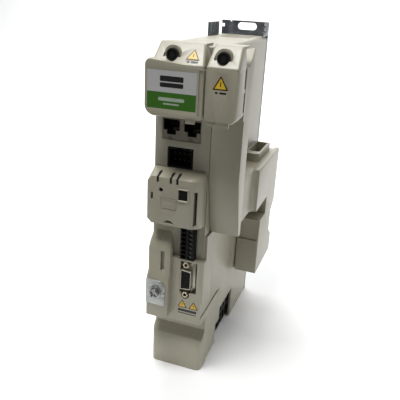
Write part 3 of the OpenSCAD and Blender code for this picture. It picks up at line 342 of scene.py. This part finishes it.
# ---- Warning triangles ----------------------------------------------------------------------
# Yellow film triangles with a dark border and one plain upright bar, on both covers and twice on
# the lower panel. Thin bars of ink under them stand for printed lines.
film_yellow = finish("yellow_film", (0.80, 0.52, 0.03), (0.72, 0.45, 0.025), 0.01, 0.0002,
                     0.00001, (0.34, 0.42))
shoulder_rise, shoulder_run = 0.0114, 0.0092
slope = math.atan2(shoulder_rise, shoulder_run)
uphill = (0.0, math.cos(slope), math.sin(slope))
base_over_height = 1.16


def warning(name, at, upward, size, body):
    """A dark triangle, a yellow one inside it and an upright bar, each a little further out."""
    base, tall, field_share = base_over_height * size, size, 0.72
    field_at = np.array(at) - 0.045 * size * np.array(upward)
    bar_at = np.array(at) - 0.09 * size * np.array(upward)
    stacked(name + "_border", triangle_outline(base, tall, 0.05 * size),
            [(0, sunk), (0, 0.5 * ink), (0.00003, ink)], at, rightward, upward, ink_dark, body)
    stacked(name + "_field", triangle_outline(field_share * base, field_share * tall, 0.02 * size),
            [(0, 0.0), (0, 1.3 * ink), (0.00002, 1.5 * ink)],
            field_at, rightward, upward, film_yellow, body)
    stacked(name + "_bar", rounded_outline(0.075 * size, 0.34 * size, 0.03 * size),
            [(0, ink), (0, 1.8 * ink), (0.00002, 2.0 * ink)], bar_at, rightward, upward, ink_dark, body)


for node in ("left_mark", "right_mark", "caution_marks"):
    dress(node, film_yellow)
left_at = middle_of("left_mark") - sunk * np.cross(rightward, uphill)
warning("left_warning", left_at, uphill, 0.0080, "left_cover_body")
right_lo, right_hi = (np.array(c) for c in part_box("right_mark"))
right_middle = (right_lo + right_hi) / 2
warning("right_warning", (right_middle[0], right_lo[1], right_middle[2]), upright, 0.0090,
        "right_cover_body")
mark_lo, mark_hi = (np.array(c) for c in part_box("caution_marks"))
mark_wide, middle_up, first_raised = 0.0064 * base_over_height, 0.00325, 0.0001
for k, x in enumerate([mark_lo[0] + mark_wide / 2, mark_hi[0] - mark_wide / 2]):
    at = x, mark_lo[1], mark_lo[2] + middle_up + first_raised * (1 - k)
    warning(f"caution_{k}", at, upright, 0.0066, "drive")


def printed_bar(name, at, upward, width, height, body):
    """One thin bar of dark ink."""
    stacked(name, rounded_outline(width, height, 0.3 * height), bar_steps,
            at, rightward, upward, ink_dark, body)


left_drop, right_drop = 0.0053, 0.0016
for k, (dx, width) in enumerate([(-0.0024, 0.0018), (0.0017, 0.0044)]):
    at = left_at + [dx, 0, 0] - left_drop * np.array(uphill)
    printed_bar(f"left_note_{k}", at, uphill, width, 0.0011, "left_cover_body")
    at = right_middle[0] + dx, right_lo[1], right_lo[2] - right_drop
    printed_bar(f"right_note_{k}", at, upright, width, 0.0012, "right_cover_body")
note_x = (mark_lo[0] + mark_hi[0]) / 2 - 0.0004
for k, (drop, width, height) in enumerate([(0.0026, 0.0150, 0.0021), (0.0051, 0.0145, 0.0008)]):
    at = note_x, mark_hi[1], mark_lo[2] - drop
    printed_bar(f"caution_note_{k}", at, upright, width, height, "drive")


# ---- Wall plate, side sheet and heatsink ----------------------------------------------------
# Folded from zinc-coated sheet, with the coating's crystals showing. The heatsink behind the
# power parts is an aluminium extrusion, and the screws and the earth plate are zinc plated.
def zinc(name, light, dark, crystal):
    """Zinc-coated steel: each crystal has its own tone, and is smoother in its middle."""
    made = finish(name, light, dark, 0.02, 0.0004, 0.00001, (0.32, 0.5), metallic=0.9)
    nodes, links = made.node_tree.nodes, made.node_tree.links
    place = [n for n in nodes if n.type == "TEX_COORD"][0]
    cells = nodes.new("ShaderNodeTexVoronoi")
    cells.inputs["Scale"].default_value = 1.0 / crystal
    links.new(place.outputs["Object"], cells.inputs["Vector"])
    tone = nodes.new("ShaderNodeValToRGB")
    tone.color_ramp.elements[0].color = (*dark, 1)
    tone.color_ramp.elements[1].color = (*light, 1)
    links.new(cells.outputs["Color"], tone.inputs["Fac"])
    links.new(tone.outputs["Color"], nodes["Principled BSDF"].inputs["Base Color"])
    gloss = nodes.new("ShaderNodeMapRange")
    smooth, rough = 0.28, 0.5
    gloss.inputs["To Min"].default_value = smooth
    gloss.inputs["To Max"].default_value = rough
    links.new(cells.outputs["Distance"], gloss.inputs["Value"])
    links.new(gloss.outputs["Result"], nodes["Principled BSDF"].inputs["Roughness"])
    return made


sheet_zinc = zinc("zinc_sheet", (0.24, 0.26, 0.28), (0.13, 0.145, 0.16), 0.006)
bright_zinc = zinc("bright_zinc", (0.46, 0.47, 0.45), (0.36, 0.37, 0.35), 0.003)
turned = finish("turned_steel", (0.34, 0.34, 0.33), (0.24, 0.24, 0.23), 0.002, 0.0002,
                0.00001, (0.25, 0.4), metallic=1.0)
extruded = finish("extruded_aluminium", (0.78, 0.79, 0.80), (0.70, 0.71, 0.72), 0.01, 0.0003,
                  0.00001, (0.3, 0.45), metallic=1.0)
softened("back_plate", "drive", 0.00025, sheet_zinc)
softened("side_sheet", "drive", 0.0002, sheet_zinc)
dress("heatsink", extruded)
dress("plate_screws", turned)
softened("earth_plate", "drive", 0.00015, bright_zinc)
softened("earth_washer", "drive", 0.00015, bright_zinc)
softened("earth_screw", "drive", 0.00015, turned)


# ---- Communication ports --------------------------------------------------------------------
# Two modular sockets in one stamped nickel-plated shield. Each has a black moulded lining with
# a latch channel, an inner block and eight thin plated contacts.
shield = finish("shield_metal", (0.34, 0.31, 0.24), (0.25, 0.23, 0.18), 0.004, 0.0002,
                0.00001, (0.3, 0.45), metallic=0.85)
black = finish("black_moulding", (0.010, 0.010, 0.010), (0.006, 0.006, 0.006), 0.006, 0.00025,
               0.00003, (0.4, 0.55), specular=0.15)
gold = finish("plated_contacts", (0.72, 0.55, 0.25), (0.60, 0.45, 0.20), 0.002, 0.0002,
              0.000005, (0.22, 0.32), metallic=1.0)
dress("port_shield", shield)
dress("port_inserts", black)
dress("port_contacts", gold)
shield_lo = np.array(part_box("port_shield")[0])
insert_lo, insert_hi = (np.array(c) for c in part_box("port_inserts"))


def channel(name, outline, y0, y1, wall, surface, body):
    """A lining: one outline in x and z carried along y, with a wall of even thickness."""
    ahead = np.roll(outline, -1, 0) - np.roll(outline, 1, 0)
    inward = np.stack([-ahead[:, 1], ahead[:, 0]], 1) / np.linalg.norm(ahead, axis=1)[:, None]
    inner = outline + wall * inward
    loops = [np.stack([o[:, 0], np.full(len(o), y), o[:, 1]], 1) for o, y in
             ((outline, y0), (outline, y1), (inner, y1), (inner, y0))]
    grid, n = np.array(loops), len(outline)
    i, j = np.meshgrid(np.arange(4), np.arange(n), indexing="ij")
    i2, j2 = (i + 1) % 4, (j + 1) % n
    faces = np.stack([i * n + j, i2 * n + j, i2 * n + j2, i * n + j2], 2).reshape(-1, 4).tolist()
    shell_piece(name, grid.reshape(-1, 3).tolist(), faces, surface, body)


port_half, latch_half, latch_deep = 0.0059, 0.0033, 0.003
play, lining_wall, set_back = 0.00005, 0.00028, 0.0005
side = port_half - play
low, step, top = insert_lo[2] - latch_deep, insert_lo[2], insert_hi[2]
for name, x in (("left_port_lining", insert_lo[0] + port_half),
                ("right_port_lining", insert_hi[0] - port_half)):
    outline = np.array([[x - side, step], [x - latch_half, step], [x - latch_half, low],
                        [x + latch_half, low], [x + latch_half, step], [x + side, step],
                        [x + side, top], [x - side, top]])
    channel(name, outline, shield_lo[1] + set_back, insert_lo[1], lining_wall, black, "drive")


# ---- Sockets, terminal blocks, fan and power parts -------------------------------------------
# Black glass-filled bodies: the auxiliary socket, the control terminal and its header, the motor
# block, the fan and the power parts. The two blocks behind the covers are green. Pins are brass.
for node in ("aux_header", "control_header", "fan_frame", "fan_rotor", "power_module", "rectifier",
             "card_socket", "reset_switch", "display_module"):
    dress(node, black)
softened("control_plug", "control_plug_body", 0.00015, black)
softened("motor_terminals", "drive", 0.0003, black)
# Painted shade: the auxiliary socket's pins are the gold plating darkened, as shade falls deep in the
# socket.
gold_in_painted_shade = finish("pins_in_painted_shade", (0.07, 0.058, 0.035), (0.05, 0.042, 0.025), 0.002, 0.0002,
                  0.000005, (0.35, 0.5), metallic=1.0)
dress("aux_pins", gold_in_painted_shade)
dress("control_pins", gold)
dark_steel = finish("dull_steel", (0.16, 0.16, 0.16), (0.10, 0.10, 0.10), 0.002, 0.0002,
                    0.00001, (0.35, 0.5), metallic=1.0)
dress("control_plug_screws", dark_steel)
dress("terminal_screws", turned)
block_green = finish("green_block", (0.05, 0.13, 0.06), (0.035, 0.10, 0.045), 0.006, 0.0003,
                     0.00003, (0.4, 0.5))
dress("supply_terminals", block_green)
dress("bus_terminals", block_green)


# ---- Encoder socket -------------------------------------------------------------------------
# A stamped, plated D-shaped shell on its flange, a black insert with fifteen sockets, and two
# hexagonal lock posts that take the plug's screws.
post_metal = finish("post_metal", (0.52, 0.46, 0.34), (0.40, 0.35, 0.25), 0.002, 0.0002,
                    0.00001, (0.25, 0.4), metallic=1.0)
shell_metal = finish("shell_plating", (0.70, 0.66, 0.56), (0.58, 0.54, 0.45), 0.004, 0.0002,
                     0.00001, (0.28, 0.42), metallic=0.8)
softened("encoder_shell", "drive", 0.0002, shell_metal)
softened("encoder_insert", "drive", 0.00015, black)
softened("encoder_posts", "drive", 0.00025, post_metal)


# ---- Keypad pod's fittings ------------------------------------------------------------------
# A tinted window in a raised rim, black strips of painted shade in the three slits, a raised frame
# with a plain mark, the reset button in its round hole, and a light pipe in the small slot.
tinted = finish("tinted_window", (0.012, 0.011, 0.009), (0.008, 0.008, 0.006), 0.01, 0.0005,
                0.000002, (0.2, 0.3), specular=0.25)
dress("display_window", tinted)
dress("reset_button", black)
lens_clear = finish("light_pipe", (0.05, 0.055, 0.05), (0.03, 0.035, 0.03), 0.004, 0.0004,
                    0.000005, (0.2, 0.3))
dress("status_lens", lens_clear)
window_lo, window_hi = (np.array(c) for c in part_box("display_window"))
pod_lo, pod_hi = (np.array(c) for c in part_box("keypad_pod"))
window_size, window_middle = window_hi - window_lo, (window_lo + window_hi) / 2
rim_margin, rooted = 0.0022, -0.0002
stacked("window_rim", rounded_outline(window_size[0] + rim_margin, window_size[2] + rim_margin, 0.0005, 64),
        [(0, rooted), (0, 0.0004), (0.0002, 0.0006), (0.0008, 0.0006), (0.00105, 0.0003),
         (0.00105, rooted)],
        (window_middle[0], pod_lo[1], window_middle[2]), rightward, upright, cream, "drive", ring=True)


def slit_painted_shade(name, middle, half_wide, profile, surface, body):
    """A black strip of painted shade that fills a slit: a profile of depth and rise, carried half_wide to
    each side.

    A point is middle + (-half_wide or half_wide, -depth, rise)."""
    n = len(profile)
    ends = [np.stack([np.full(n, middle[0] + dx), middle[1] - profile[:, 0], middle[2] + profile[:, 1]], 1)
            for dx in (-half_wide, half_wide)]
    faces = [list(range(n)), list(range(2 * n - 1, n - 1, -1))]
    faces += [[i, i + n, (i + 1) % n + n, (i + 1) % n] for i in range(n)]
    mesh = bpy.data.meshes.new(name)
    mesh.from_pydata(np.concatenate(ends).tolist(), [], faces)
    shade = bpy.data.objects.new(name, mesh)
    bpy.context.scene.collection.objects.link(shade)
    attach(shade, body)
    dress(shade, surface)


# Painted shade: black strips set in the pod's three slits so that their insides read dark.
slit_foot, slit_half = 0.0314, 0.00078
bent_slit = np.array([[0.0118, 0.0000], [0.0118, 0.0034], [0.0066, 0.0062], [0.0058, 0.0053],
                      [0.0106, 0.0027], [0.0106, 0.0000]])
for k, x in enumerate([0.0077, 0.0174, 0.0222]):
    slit_painted_shade(f"slit_painted_shade_{k}", (pod_lo[0] + x, pod_hi[1], pod_lo[2] + slit_foot), slit_half,
               bent_slit, black, "drive")
field_middle = (pod_lo[0] + 0.0162, pod_lo[1], pod_lo[2] + 0.0164)
stacked("raised_field", rounded_outline(0.0112, 0.0072, 0.0005, 48),
        [(0, rooted), (0, 0.0002), (0.00015, 0.0003), (0.0005, 0.0003), (0.00065, 0.0002),
         (0.00065, rooted)],
        field_middle, rightward, upright, cream, "drive", ring=True)
stacked("raised_mark", rounded_outline(0.0034, 0.0022, 0.0006),
        [(0, rooted), (0, 0.00015), (0.0003, 0.0003)], field_middle, rightward, upright, cream, "drive")


# ---- Boards and inner power parts -----------------------------------------------------------
# Green laminated boards with a faint copper pattern, sleeved capacitors and a taped transformer.
# They stand inside the case and show only through its slots.
def laminate(name, light, dark):
    """Solder mask over copper: a pattern of bricks, darker along the joints for the tracks."""
    made = finish(name, light, dark, 0.01, 0.0004, 0.00001, (0.25, 0.35))
    nodes, links = made.node_tree.nodes, made.node_tree.links
    place = [n for n in nodes if n.type == "TEX_COORD"][0]
    tracks = nodes.new("ShaderNodeTexBrick")
    tracks.inputs["Scale"].default_value = 60.0
    tracks.inputs["Color1"].default_value = (*light, 1)
    tracks.inputs["Color2"].default_value = (*[0.8 * c for c in light], 1)
    tracks.inputs["Mortar"].default_value = (*dark, 1)
    links.new(place.outputs["Object"], tracks.inputs["Vector"])
    links.new(tracks.outputs["Color"], nodes["Principled BSDF"].inputs["Base Color"])
    return made


board = laminate("green_board", (0.03, 0.16, 0.06), (0.015, 0.09, 0.03))
dress("power_board", board)
dress("control_board", board)
sleeve = finish("shrink_sleeve", (0.03, 0.04, 0.10), (0.02, 0.03, 0.08), 0.01, 0.0006,
                0.00001, (0.2, 0.3))
dress("bus_capacitors", sleeve)
tape = finish("wound_tape", (0.62, 0.46, 0.09), (0.52, 0.38, 0.07), 0.01, 0.0006,
              0.00002, (0.35, 0.5))
dress("supply_transformer", tape)
